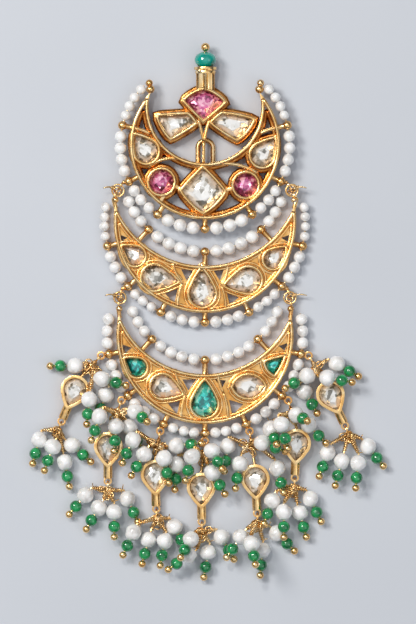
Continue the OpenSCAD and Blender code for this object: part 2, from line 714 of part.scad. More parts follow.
module tier_stone(s) {
    t = TIERS[s[STONE_TIER]];
    translate([0, t[CY], t[BASE]])
        cut_stone(STONE_OUTLINES[s[STONE_TIER]][s[STONE_OUTLINE]], plate + stone_gap, s[STONE_STEPS],
            s[STONE_TONE]);
}

module pearl_string(s) {
    for (p = string_pearls(s), mirrored = [false, true])
        color(pearl_white)
            translate([string_centre(s).x, string_centre(s).y, string_height(s)])
                rotate([0, 0, mirrored ? 180 - p[0] : p[0]])
                    translate([string_radius(s), 0, 0])
                        rotate([90, 0, 0])
                            difference() {
                                sphere(d = p[1], $fn = round_fn);
                                cylinder(h = 4, r = string_wire / 2 + 0.12, center = true,
                                    $fn = round_fn);
                            }
}

module pearl_wire(s) {
    color(gold)
        translate([string_centre(s).x, string_centre(s).y, string_height(s)])
            rotate([0, 0, 180 - s[START]])
                rotate_extrude(angle = 180 + 2 * s[START], $fn = 96)
                    translate([string_radius(s), 0])
                        circle(d = string_wire, $fn = round_fn);
}

module finial_bead() {
    rim = [for (k = [0:16]) [bead_radius * sin(k * 180 / 16), -bead_half * cos(k * 180 / 16)]];
    color(teal)
        finial_axis(bead_y)
            difference() {
                rotate_extrude($fn = 48)
                    polygon(rim);
                cylinder(h = 3 * bead_half, r = pin_radius + 0.1, center = true, $fn = round_fn);
            }
}

module finial_pin() {
    color(gold) {
        finial_axis(bead_y + bead_half + 0.8)
            sphere(d = 1.6, $fn = round_fn);
        finial_axis(cup_mouth - 1.5)
            cylinder(h = bead_y + bead_half + 2 - cup_mouth, r = pin_radius, $fn = round_fn);
    }
}

// The plain ear wire, folded flat behind the top crescent: two legs joined by a bend at each end
module ear_wire() {
    wire = 0.475;
    bend = 1.4;
    high = -0.6;
    low = -9.4;
    color(gold)
        translate([0.1, TIERS[0][CY], wire]) {
            for (side = [-1, 1])
                rod([side * bend, low, 0], [side * bend, high, 0], wire);
            for (end = [[high, 0], [low, 180]])
                translate([0, end[0], 0])
                    rotate([0, 0, end[1]])
                        rotate_extrude(angle = 180, $fn = 48)
                            translate([bend, 0])
                                circle(r = wire, $fn = round_fn);
        }
}

module link(row) {
    i = row[LINK_TIER];
    color(gold)
        translate(deep(flip((upper_eyelet(i) + lower_eyelet(i)) / 2, row[LINK_SIDE]), link_height[i]))
            wire_ring(ring_radius, ring_wire);
}

module drop_setting(d) {
    h = drop_heading(d);
    corners = pear(drop_centre(d), drop_radius, drop_centre(d) + drop_tip * h);
    u = shank_heading(d);
    color(gold) {
        bezel(corners, drop_base, drop_depth);
        standing_eyelet(deep(bail(d)), atan2(u.y, u.x));
        rod(deep(bail(d) + eyelet_radius * u), deep(drop_top(d)), shank_radius);
        rod(deep(drop_centre(d) + (drop_tip - 0.45) * h), deep(drop_centre(d) + tube_end * h), tube_radius);
        translate(deep(foot_eyelet(d)))
            eyelet(eyelet_radius);
    }
}

module drop_stone(d) {
    h = drop_heading(d);
    cut_stone(pear(drop_centre(d), drop_radius, drop_centre(d) + drop_tip * h),
        drop_base + plate + stone_gap, 2, clear_stone);
}

// A bead on its pin, bored along the pin
module bored_ball(pin, place, diameter) {
    translate(place)
        rotate([0, 90 - pin[PIN_RISE], pin[PIN_HEADING]])
            difference() {
                sphere(d = diameter, $fn = round_fn);
                cylinder(h = 2 * diameter, r = pin_wire / 2 + clearance, center = true, $fn = round_fn);
            }
}

// Where a pin leaves the ring of its bunch
function upper_start(d, pearl) =
    let (
        root = deep(upper_root(d)),
        u = deep(shank_heading(d), 0),
        way = pearl - root,
        across = way - (way * u) * u
    )
    root + bunch_ring * across / norm(across);

function lower_start(d, pearl) = deep(lower_root(d)) + 0.25 * unit(pearl - deep(lower_root(d)));

// One bunch's wires as one solid: its ring, its pins and their gold balls
module bunch_wires(row, number) {
    d = DROPS[number];
    pins = fringe_pins(row)[number];
    u = row == "upper" ? shank_heading(d) : drop_heading(d);
    if (row == "upper")
        translate(deep(upper_root(d)))
            rotate([0, 90, atan2(u.y, u.x)])
                eyelet(bunch_ring);
    else {
        standing_eyelet(deep(lower_ring(d)), atan2(u.y, u.x));
        translate(deep(lower_root(d)))
            sphere(d = root_ball, $fn = root_sides);
    }
    for (i = [0:len(pins) - 1]) {
        pearl = pin_pearl(pins[i], fringe_height(row, number, i));
        way = pin_way(pins[i]);
        start = row == "upper" ? upper_start(d, pearl) : lower_start(d, pearl);
        entry = pearl - entry_reach * way;
        rod(start, entry + bend_lap * unit(entry - start), pin_wire / 2, pin_sides);
        rod(entry - bend_lap * way, pearl + ball_reach * way, pin_wire / 2, pin_sides);
        translate(pearl + ball_reach * way)
            rotate([0, -pins[i][PIN_RISE], pins[i][PIN_HEADING]])
                sphere(d = gold_ball, $fn = round_fn);
    }
}

module fringe_wires(row) {
    for (number = [0:len(DROPS) - 1])
        color(gold)
            bunch_wires(row, number);
}

module fringe_balls(row, reach, diameter, tone) {
    for (number = [0:len(DROPS) - 1], i = [0:3]) {
        pin = fringe_pins(row)[number][i];
        color(tone)
            bored_ball(pin, pin_pearl(pin, fringe_height(row, number, i)) + reach * pin_way(pin), diameter);
    }
}

module placed() {
    translate([-origin_x, -origin_y, 0])
        children();
}

placed() tier(0);  // tier1_frame
placed() tier(1);  // tier2_frame
placed() tier(2);  // tier3_frame
placed() finial_bead();
placed() finial_pin();
placed() ear_wire();
for (s = STONES)
    placed() tier_stone(s);
for (s = STRINGS) {
    placed() pearl_string(s);
    placed() pearl_wire(s);
}
for (row = LINKS)
    placed() link(row);
for (k = [1:len(DROPS)]) {
    placed() drop_setting(DROPS[k - 1]);
    placed() drop_stone(DROPS[k - 1]);
}
for (row = ["upper", "lower"]) {
    placed() fringe_balls(row, 0, fringe_pearl, pearl_white);
    placed() fringe_balls(row, green_reach, green_bead, bead_green);
    placed() fringe_wires(row);
}
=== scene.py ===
import math
import random

import bmesh
import bpy
import numpy as np
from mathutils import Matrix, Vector


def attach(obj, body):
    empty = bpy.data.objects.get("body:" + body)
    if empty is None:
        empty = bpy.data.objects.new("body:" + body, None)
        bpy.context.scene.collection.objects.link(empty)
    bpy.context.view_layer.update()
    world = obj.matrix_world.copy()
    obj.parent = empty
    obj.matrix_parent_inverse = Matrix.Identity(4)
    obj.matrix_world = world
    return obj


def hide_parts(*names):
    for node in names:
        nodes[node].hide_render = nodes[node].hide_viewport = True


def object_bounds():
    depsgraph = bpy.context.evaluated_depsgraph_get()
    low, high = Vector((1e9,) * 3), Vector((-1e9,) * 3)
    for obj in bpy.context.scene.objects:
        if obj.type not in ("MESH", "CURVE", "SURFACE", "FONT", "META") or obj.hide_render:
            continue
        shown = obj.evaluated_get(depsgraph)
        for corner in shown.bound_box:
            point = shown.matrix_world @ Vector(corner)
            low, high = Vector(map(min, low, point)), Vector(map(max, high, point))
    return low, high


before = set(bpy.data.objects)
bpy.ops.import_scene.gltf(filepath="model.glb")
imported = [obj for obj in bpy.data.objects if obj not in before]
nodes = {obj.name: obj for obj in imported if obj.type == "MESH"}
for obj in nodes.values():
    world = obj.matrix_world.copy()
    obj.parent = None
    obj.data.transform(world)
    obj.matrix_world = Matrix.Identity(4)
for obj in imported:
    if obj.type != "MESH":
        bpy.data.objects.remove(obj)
cad_box = [list(corner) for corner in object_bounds()]
MM = 0.001

# Camera and light, all in metres
scene = bpy.context.scene
low, high = (Vector(corner) for corner in cad_box)
middle = (low + high) / 2

CAMERA_HEIGHT = 1.2
VIEW_HEIGHT = 0.1165
SENSOR_HEIGHT_MM = 24
camera_data = bpy.data.cameras.new("camera")
camera_data.sensor_fit = "VERTICAL"
camera_data.sensor_height = SENSOR_HEIGHT_MM
camera_data.lens = SENSOR_HEIGHT_MM * CAMERA_HEIGHT / VIEW_HEIGHT
camera_data.clip_start = 0.01
camera = bpy.data.objects.new("camera", camera_data)
camera.location = (middle.x, middle.y, CAMERA_HEIGHT)
scene.collection.objects.link(camera)
scene.camera = camera
scene.view_settings.view_transform = "Standard"


def area_light(name, place, size, power, colour):
    """A round light that is aimed at the earring."""
    data = bpy.data.lights.new(name, "AREA")
    data.shape = "DISK"
    data.size = size
    data.energy = power
    data.color = colour
    light = bpy.data.objects.new(name, data)
    light.location = place
    light.rotation_euler = (-Vector(place)).to_track_quat("-Z", "Y").to_euler()
    scene.collection.objects.link(light)


area_light("key", (-0.42, 0.26, 0.62), size=0.26, power=3.3, colour=(1.0, 0.985, 0.96))
area_light("fill", (0.55, -0.30, 0.60), size=0.5, power=0.6, colour=(0.94, 0.97, 1.0))
area_light("sparkle", (-0.16, 0.34, 0.75), size=0.06, power=1.3, colour=(1.0, 0.97, 0.93))

# The sky is dark up to this height on the unit sphere, and grows lighter from there to the zenith
DARK_UP_TO = 0.45
SKY_STRENGTH = 0.9
world = bpy.data.worlds.new("studio")
scene.world = world
world.use_nodes = True
sky = world.node_tree
background = sky.nodes["Background"]
where = sky.nodes.new("ShaderNodeTexCoord")
split = sky.nodes.new("ShaderNodeSeparateXYZ")
ramp = sky.nodes.new("ShaderNodeValToRGB")
dark_sky, zenith = ramp.color_ramp.elements
dark_sky.position, dark_sky.color = DARK_UP_TO, (0.11, 0.115, 0.13, 1)
zenith.position, zenith.color = 1.0, (0.93, 0.95, 1.0, 1)
sky.links.new(where.outputs["Generated"], split.inputs[0])
sky.links.new(split.outputs[2], ramp.inputs[0])
sky.links.new(ramp.outputs[0], background.inputs[0])
background.inputs["Strength"].default_value = SKY_STRENGTH


# Materials; their sizes are in mm
class Look:
    """A procedural material: a Principled shader and the textures that feed it."""

    def __init__(self, name, **sockets):
        self.material = bpy.data.materials.new(name)
        self.material.use_nodes = True
        self.tree = self.material.node_tree
        self.shader = self.tree.nodes["Principled BSDF"]
        self.coordinates = self.tree.nodes.new("ShaderNodeTexCoord").outputs["Object"]
        for socket, value in sockets.items():
            self.shader.inputs[socket.replace("_", " ")].default_value = value

    def node(self, kind, *inputs, **settings):
        made = self.tree.nodes.new(kind)
        for setting, value in settings.items():
            setattr(made, setting, value)
        for slot, value in enumerate(inputs):
            if isinstance(value, bpy.types.NodeSocket):
                self.tree.links.new(value, made.inputs[slot])
            else:
                made.inputs[slot].default_value = value
        return made

    def noise(self, size_mm, detail=2.0, roughness=0.5):
        made = self.node("ShaderNodeTexNoise", self.coordinates)
        made.inputs["Scale"].default_value = 1 / (size_mm * MM)
        made.inputs["Detail"].default_value = detail
        made.inputs["Roughness"].default_value = roughness
        return made.outputs["Fac"]

    def cells(self, size_mm):
        made = self.node("ShaderNodeTexVoronoi", self.coordinates)
        made.inputs["Scale"].default_value = 1 / (size_mm * MM)
        return made.outputs["Color"]

    def height(self, base_mm, top_mm):
        """The share of the way from the one height up to the other."""
        split_up = self.node("ShaderNodeSeparateXYZ", self.coordinates)
        made = self.node("ShaderNodeMapRange", split_up.outputs[2], base_mm * MM, top_mm * MM)
        return made.outputs[0]

    def ramp(self, share, *stops):
        """Colours, or greys given as one number, along a share."""
        made = self.node("ShaderNodeValToRGB", share)
        elements = made.color_ramp.elements
        while len(elements) < len(stops):
            elements.new(0.5)
        for element, (position, colour) in zip(elements, stops):
            element.position = position
            element.color = (*colour, 1) if len(colour) == 3 else (colour[0],) * 3 + (1,)
        return made.outputs[0]

    def mix(self, share, first, second):
        made = self.node("ShaderNodeMix", data_type="RGBA")
        for slot, value in ((0, share), (6, first), (7, second)):
            if isinstance(value, bpy.types.NodeSocket):
                self.tree.links.new(value, made.inputs[slot])
            else:
                made.inputs[slot].default_value = value
        return made.outputs[2]

    def bump(self, *layers):
        """Layers of a height, a strength and a depth in mm, one over the other."""
        normal = None
        for height, strength, depth_mm in layers:
            made = self.node("ShaderNodeBump")
            made.inputs["Strength"].default_value = strength
            made.inputs["Distance"].default_value = depth_mm * MM
            self.tree.links.new(height, made.inputs["Height"])
            if normal is not None:
                self.tree.links.new(normal, made.inputs["Normal"])
            normal = made.outputs[0]
        self.feed("Normal", normal)

    def feed(self, socket, value):
        self.tree.links.new(value, self.shader.inputs[socket])


BRIGHT_GOLD = ((0.3, (0.90, 0.50, 0.16)), (0.55, (0.98, 0.66, 0.29)), (0.75, (1.0, 0.80, 0.48)))
# Painted shade: the darker gold of the low sheet between the settings
RECESS_SHADED_GOLD = ((0.3, (0.66, 0.29, 0.06)), (0.55, (0.86, 0.47, 0.14)), (0.75, (0.98, 0.66, 0.30)))
# Painted shade: the dark gold of the low seats inside the open top crescent
SHADED_GOLD = ((0.3, (0.30, 0.10, 0.02)), (0.55, (0.52, 0.22, 0.05)), (0.75, (0.80, 0.44, 0.14)))
DRAWN_GOLD = ((0.3, (0.56, 0.34, 0.13)), (0.5, (0.84, 0.56, 0.25)), (0.70, (1.0, 0.80, 0.50)))


# Painted shade: the dark gold that walls are mixed towards low down in their recesses; the backed
# crescents get a lighter one
RECESS_SHADE_TONE = (0.50, 0.20, 0.045)
BACKED_RECESS_SHADE_TONE = (0.62, 0.26, 0.06)


def gold_look(name, base_mm=None, top_mm=None, shade_tone=RECESS_SHADE_TONE, tones=BRIGHT_GOLD, beaten=0.35):
    """Uneven, lightly beaten gold. With two heights given it darkens from the upper one down, as
    painted shade on the lower walls and in the recesses.
    """
    look = Look(name, Metallic=1.0, Roughness=0.27)
    tone = look.ramp(look.noise(2.2, 3.0), *tones)
    if base_mm is not None:
        # Painted shade: below the upper height the gold is mixed towards the shade tone
        depth = look.ramp(look.height(base_mm, top_mm), (0.0, (0.0,)), (0.55, (0.55,)), (0.93, (1.0,)))
        tone = look.mix(depth, (*shade_tone, 1), tone)
    look.feed("Base Color", tone)
    look.feed("Roughness", look.ramp(look.noise(0.7, 3.0), (0.3, (0.17,)), (0.7, (0.36,))))
    look.bump((look.noise(0.9, 2.0), beaten, 0.07), (look.noise(0.16, 3.0), 0.2, 0.012))
    return look.material


def pearl_look(name, grain_mm):
    """A lustrous pearl with greyer places, in grains of about this size."""
    look = Look(name, Roughness=0.22, Coat_Weight=1.0, Coat_Roughness=0.05, IOR=1.65)
    look.shader.inputs["Subsurface Weight"].default_value = 0.08
    look.shader.inputs["Subsurface Radius"].default_value = (0.0008, 0.0006, 0.0005)
    look.shader.inputs["Sheen Weight"].default_value = 0.15
    tone = look.ramp(
        look.noise(grain_mm, 3.0, 0.6),
        (0.30, (0.62, 0.59, 0.56)), (0.44, (0.84, 0.82, 0.79)), (0.60, (0.94, 0.93, 0.91)),
    )
    look.feed("Base Color", tone)
    look.bump((look.noise(grain_mm * 0.45, 2.0), 0.5, 0.09), (look.noise(0.2, 2.0), 0.15, 0.01))
    return look.material


def stone_look(name, stops, size_mm, metallic):
    """A foil-backed cut stone: its facets show as patches of lighter and darker colour, partly the
    foil's own tone and partly painted facet reflections.
    """
    look = Look(name, Metallic=metallic, Roughness=0.09, Coat_Weight=1.0, Coat_Roughness=0.03, IOR=1.7)
    facets = look.cells(size_mm)
    fine = look.cells(size_mm * 0.45)
    split_up = look.node("ShaderNodeSeparateColor", facets).outputs[0]
    split_fine = look.node("ShaderNodeSeparateColor", fine).outputs[1]
    share = look.node("ShaderNodeMath", split_up, split_fine, operation="ADD").outputs[0]
    share = look.node("ShaderNodeMath", share, 0.5, operation="MULTIPLY").outputs[0]
    # Partly painted reflection: the lightest stops stand for facets that catch the light
    look.feed("Base Color", look.ramp(share, *stops))
    tilt = look.node("ShaderNodeVectorMath", facets, (0.5, 0.5, 0.5), operation="SUBTRACT").outputs[0]
    tilt = look.node("ShaderNodeVectorMath", tilt, (0.55, 0.55, 0.2), operation="MULTIPLY").outputs[0]
    plain = look.node("ShaderNodeNewGeometry").outputs["Normal"]
    turned = look.node("ShaderNodeVectorMath", plain, tilt, operation="ADD").outputs[0]
    look.feed("Normal", look.node("ShaderNodeVectorMath", turned, operation="NORMALIZE").outputs[0])
    return look.material


def bead_look(name, dark, light, transmission, size_mm):
    """A polished bead of clouded stone."""
    look = Look(name, Roughness=0.07, Coat_Weight=1.0, Coat_Roughness=0.03, IOR=1.5)
    look.shader.inputs["Transmission Weight"].default_value = transmission
    look.feed("Base Color", look.ramp(look.noise(size_mm, 2.0), (0.32, dark), (0.68, light)))
    look.bump((look.noise(size_mm * 0.4, 2.0), 0.15, 0.03))
    return look.material


# The frames and drop settings darken towards their lower parts: painted shade
GOLD_FRAMES = {
    "tier1_frame": gold_look("gold_tier1", 1.05, 3.65),
    "tier2_frame": gold_look("gold_tier2", 0.6, 2.5, BACKED_RECESS_SHADE_TONE),
    "tier3_frame": gold_look("gold_tier3", 0.6, 2.5, BACKED_RECESS_SHADE_TONE),
}
GOLD_DROPS = gold_look("gold_drops", -0.4, 2.4)
GOLD = gold_look("gold_polished")
# The sheet's darker gold is painted shade for lying low between the settings
GOLD_SHEET = gold_look("gold_sheet", tones=RECESS_SHADED_GOLD, beaten=0.6)
SHADED_SEAT_GOLD = gold_look("gold_seats_shaded", tones=SHADED_GOLD, beaten=0.6)
GOLD_WIRE = gold_look("gold_drawn", tones=DRAWN_GOLD)
PEARL_SMALL = pearl_look("pearl_small", 1.6)
PEARL_LARGE = pearl_look("pearl_large", 2.2)
CLEAR = stone_look(
    "stone_clear",
    (
        (0.22, (0.20, 0.19, 0.16)), (0.33, (0.52, 0.50, 0.44)),
        (0.45, (0.82, 0.80, 0.74)), (0.60, (0.97, 0.96, 0.92)),
    ),
    size_mm=1.5, metallic=0.35,
)
PINK = stone_look(
    "stone_pink",
    (
        (0.25, (0.16, 0.015, 0.06)), (0.42, (0.50, 0.06, 0.22)),
        (0.55, (0.72, 0.16, 0.36)), (0.72, (0.93, 0.50, 0.62)),
    ),
    size_mm=1.1, metallic=0.3,
)
EMERALD = stone_look(
    "stone_emerald",
    (
        (0.25, (0.0, 0.16, 0.15)), (0.42, (0.0, 0.48, 0.42)),
        (0.56, (0.03, 0.70, 0.62)), (0.70, (0.40, 0.96, 0.88)),
    ),
    size_mm=1.6, metallic=0.25,
)
TEAL = bead_look("bead_teal", (0.0, 0.22, 0.17), (0.0, 0.38, 0.29), transmission=0.0, size_mm=1.4)
GREEN = bead_look("bead_green", (0.0, 0.14, 0.038), (0.02, 0.46, 0.13), transmission=0.25, size_mm=1.0)

# The ground, in metres; it lies a little under the earring
FLOOR_HALF = 1.0
FLOOR_DROP = 0.00002
floor_look = Look("floor", Roughness=0.85)
floor_tone = floor_look.ramp(
    floor_look.noise(60, 2.0), (0.3, (0.56, 0.585, 0.625)), (0.7, (0.585, 0.61, 0.65))
)
floor_look.feed("Base Color", floor_tone)
floor_look.bump((floor_look.noise(0.8, 2.0), 0.04, 0.02))
floor_mesh = bpy.data.meshes.new("floor")
corners = [(x * FLOOR_HALF, y * FLOOR_HALF, 0) for x, y in ((-1, -1), (1, -1), (1, 1), (-1, 1))]
floor_mesh.from_pydata(corners, [], [(0, 1, 2, 3)])
floor = bpy.data.objects.new("floor", floor_mesh)
floor.location = (0, 0, -FLOOR_DROP)
floor_mesh.materials.append(floor_look.material)
scene.collection.objects.link(floor)


def look_of(name):
    """The material of a CAD node."""
    if name in GOLD_FRAMES:
        return GOLD_FRAMES[name]
    if name.endswith("_setting"):
        return GOLD_DROPS
    if name.endswith("fringe_pearls"):
        return PEARL_LARGE
    if name.endswith("_pearls"):
        return PEARL_SMALL
    if name.endswith("_fringe_beads"):
        return GREEN
    if name == "finial_bead":
        return TEAL
    if name in ("tier1_stone_kite", "tier1_stone_round_left", "tier1_stone_round_right"):
        return PINK
    if name in ("tier3_stone_centre", "tier3_stone_far_left", "tier3_stone_far_right"):
        return EMERALD
    if "_stone" in name:
        return CLEAR
    if name == "ear_wire" or name.endswith("pearl_wire"):
        return GOLD_WIRE
    return GOLD


for name, obj in nodes.items():
    obj.data.materials.clear()
    obj.data.materials.append(look_of(name))


# Softened gold work
def piece(name, mesh, look):
    """A visual piece that rides the part's one body."""
    made = bpy.data.objects.new(name, mesh)
    mesh.materials.clear()
    mesh.materials.append(look)
    scene.collection.objects.link(made)
    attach(made, "root")
    return made


FRAME_ROUNDING = 0.13
DROP_ROUNDING = 0.12
MERGE_DISTANCE = 2e-6
FLAT_FOLD = math.radians(1.5)
SHARP_FOLD = math.radians(50)
SMOOTH_FOLD = math.radians(38)


def softened(node, name, width_mm):
    """A copy of a metal solid with its hard edges rounded over, as hand-finished gold has them."""
    mesh = nodes[node].data.copy()
    work = bmesh.new()
    work.from_mesh(mesh)
    bmesh.ops.remove_doubles(work, verts=work.verts, dist=MERGE_DISTANCE)
    bmesh.ops.dissolve_limit(work, angle_limit=FLAT_FOLD, verts=work.verts, edges=work.edges)
    sharp = [
        edge for edge in work.edges
        if len(edge.link_faces) == 2 and edge.calc_face_angle(0) > SHARP_FOLD
    ]
    bmesh.ops.bevel(
        work, geom=sharp, offset=width_mm * MM, offset_type="OFFSET", segments=2, profile=0.5,
        affect="EDGES", clamp_overlap=True,
    )
    for face in work.faces:
        face.smooth = True
    work.to_mesh(mesh)
    work.free()
    if "custom_normal" in mesh.attributes:
        mesh.attributes.remove(mesh.attributes["custom_normal"])
    mesh.set_sharp_from_angle(angle=SMOOTH_FOLD)
    made = piece(name, mesh, look_of(node))
    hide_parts(node)


for node in GOLD_FRAMES:
    softened(node, node.replace("_frame", "_goldwork"), FRAME_ROUNDING)
for k in range(1, 8):
    softened(f"drop{k}_setting", f"drop{k}_goldwork", DROP_ROUNDING)

# The source's sizes, in mm. ORIGIN is the source's point that the frame calls 0, 0. A tier has the
# height of its middle, the radius of its outer circle and the circle of its bite, all around cy.
ORIGIN = Vector((0.58, -0.34))
TIERS = (
    {"cy": 30.9, "radius": 14.0, "bite_y": 7.0, "bite_r": 10.5, "base": 1.05},
    {"cy": 16.5, "radius": 17.0, "bite_y": 9.8, "bite_r": 18.0, "base": 0.0},
    {"cy": -4.7, "radius": 16.5, "bite_y": 9.9, "bite_r": 17.1, "base": 0.0},
)
FRAME_DEPTH = 2.6
BEZEL_WALL = 0.55
RIM_WALL = 0.65
WIRE_Z = 1.3
STRAIGHT_STEPS = 4
ARC_STEPS = 8
LONG_ARC_STEPS = 32
LONG_BULGE = 1.2
PEAR_BULGE = 0.08
CRESCENT_STEPS = 72


def polar(radius, angle):
    return Vector((radius * math.cos(math.radians(angle)), radius * math.sin(math.radians(angle))))


def arc_point(p, q, bulge, share):
    """A point some share of the way along the arc from p to q."""
    mid, half = (p + q) / 2, (q - p).length / 2
    along = (q - p) / (2 * half)
    out = Vector((along.y, -along.x))
    radius = half * (1 + bulge * bulge) / (2 * bulge)
    centre = mid - out * (radius - bulge * half)
    angle = (share - 0.5) * 4 * math.atan(bulge)
    return centre + radius * (out * math.cos(angle) + along * math.sin(angle))


# An outline is a list of corners (x, y, bulge). The bulge belongs to the side that starts there:
# the tangent of a quarter of its arc, as in the source, and 0 for a straight side.
def side(p, q):
    """The points of an outline's side, without its end."""
    start, end = Vector(p[:2]), Vector(q[:2])
    if p[2] == 0:
        return [start.lerp(end, k / STRAIGHT_STEPS) for k in range(STRAIGHT_STEPS)]
    parts = LONG_ARC_STEPS if p[2] > LONG_BULGE else ARC_STEPS
    return [start if k == 0 else arc_point(start, end, p[2], k / parts) for k in range(parts)]


def outline(corners):
    return [point for k, p in enumerate(corners) for point in side(p, corners[(k + 1) % len(corners)])]


def pear(centre, radius, tip):
    """The corners of a pear: a round end and two nearly straight sides that meet in a tip."""
    centre, tip = Vector(centre), Vector(tip)
    axis = tip - centre
    turn = math.degrees(math.acos(radius / axis.length))
    heading = math.degrees(math.atan2(axis.y, axis.x))
    touch_1 = centre + polar(radius, heading + turn)
    touch_2 = centre + polar(radius, heading - turn)
    round_bulge = math.tan(math.radians((360 - 2 * turn) / 4))
    return [(*tip, PEAR_BULGE), (*touch_1, round_bulge), (*touch_2, PEAR_BULGE)]


def disc(centre, radius):
    """The corners of a circle."""
    return [(centre[0] - radius, centre[1], 1), (centre[0] + radius, centre[1], 1)]


# Each crescent's settings, its strips from a corner (x, y, bulge) to an end, and the pierced places
# of its sheet. Their points are measured from the crescent's own centre.
SETTINGS = (
    (
        [(-4.1, 8.1, 0), (-0.3, 4.2, 0), (3.9, 7.8, 0.16), (-0.2, 10.4, 0.16)],
        [(-9.0, 5.4, 0.14), (-6.4, 0.9, 0.04), (-1.6, 3.9, 0.1), (-3.2, 5.8, 0.02)],
        [(1.0, 4.0, 0.04), (6.0, 0.7, 0.14), (9.3, 4.7, 0.06), (3.2, 5.9, 0.1)],
        pear((-10.9, -1.3), 2.4, (-13.3, 2.0)), pear((10.7, -2.0), 2.4, (13.2, 1.3)),
        disc((-8.1, -7.0), 2.55), disc((7.6, -7.6), 2.5),
        [(-4.6, -8.6, 0.12), (-0.3, -12.9, 0.12), (3.9, -8.8, 0.04), (-0.4, -4.1, 0.04)],
    ),
    (
        pear((-0.5, -13.4), 2.65, (-0.6, -8.4)), pear((-9.4, -10.4), 2.55, (-4.7, -11.2)),
        pear((8.1, -10.9), 2.6, (3.4, -12.0)), pear((-13.0, -6.4), 2.0, (-15.6, -4.4)),
        pear((12.7, -7.0), 1.95, (15.2, -4.6)),
    ),
    (
        pear((-0.1, -12.8), 2.65, (0, -8.0)), pear((-7.9, -9.5), 2.4, (-4.0, -11.0)),
        [(4.9, -9.6, 0.72), (11.4, -9.4, 0.72)], pear((-12.6, -6.0), 1.95, (-15.1, -4.1)),
        [(15.0, -3.7, 0.06), (11.0, -4.8, 0.3), (13.0, -7.6, 0.1)],
    ),
)
STRIPS = (
    (
        ((-10.6, -4.3, -0.3), (-3.0, -3.3)), ((-3.0, -3.3, 0.1), (-0.6, -4.2)),
        ((0.2, -4.1, -0.22), (9.9, -5.4)), ((-13.2, 3.0, -0.1), (-10.3, 2.0)),
        ((10.3, 2.0, -0.1), (13.2, 3.0)), ((-1.3, 4.6, -0.06), (-0.3, 0.6)),
        ((0.9, 4.6, 0.06), (-0.1, 0.6)), ((-0.2, 0.9, 0), (-0.2, -3.8)),
    ),
    (
        ((-6.0, -7.6, 0.16), (-4.2, -11.3)), ((-4.2, -11.3, 0.1), (-5.1, -15.9)),
        ((4.2, -7.8, -0.16), (3.1, -12.0)), ((3.1, -12.0, -0.1), (3.9, -16.2)),
    ),
    (
        ((-5.6, -6.2, 0.16), (-3.6, -10.9)), ((-3.6, -10.9, 0.1), (-4.5, -15.5)),
        ((2.4, -7.0, 0.1), (3.4, -10.6)), ((3.4, -10.6, -0.1), (4.3, -15.6)),
    ),
)
PIERCED = (
    (),
    (
        ((-16.1, -2.3), (-15.6, -3.6), (-14.4, -3.0)), ((15.9, -2.4), (14.2, -3.0), (15.5, -3.8)),
        ((-4.4, -8.9), (-1.9, -8.7), (-3.4, -11.0)), ((3.5, -9.0), (2.8, -11.0), (1.4, -8.8)),
        ((-7.4, -13.4), (-5.0, -12.2), (-5.7, -15.3)), ((6.6, -13.9), (4.6, -15.5), (4.0, -12.9)),
    ),
    (
        ((-15.4, -1.7), (-14.9, -3.3), (-13.6, -2.3)), ((15.4, -1.4), (13.8, -2.0), (14.9, -2.9)),
        ((-4.2, -8.2), (-1.6, -8.2), (-3.1, -10.3)), ((3.9, -8.4), (3.2, -10.0), (1.9, -8.2)),
        ((-6.9, -12.7), (-4.6, -12.0), (-5.2, -14.8)), ((7.2, -12.8), (5.1, -14.9), (4.5, -12.0)),
    ),
)


def placed(point, z, cy=0.0):
    """A point of the source, in mm, as a point of the frame, in metres."""
    return Vector((point[0] - ORIGIN.x, point[1] + cy - ORIGIN.y, z)) * MM


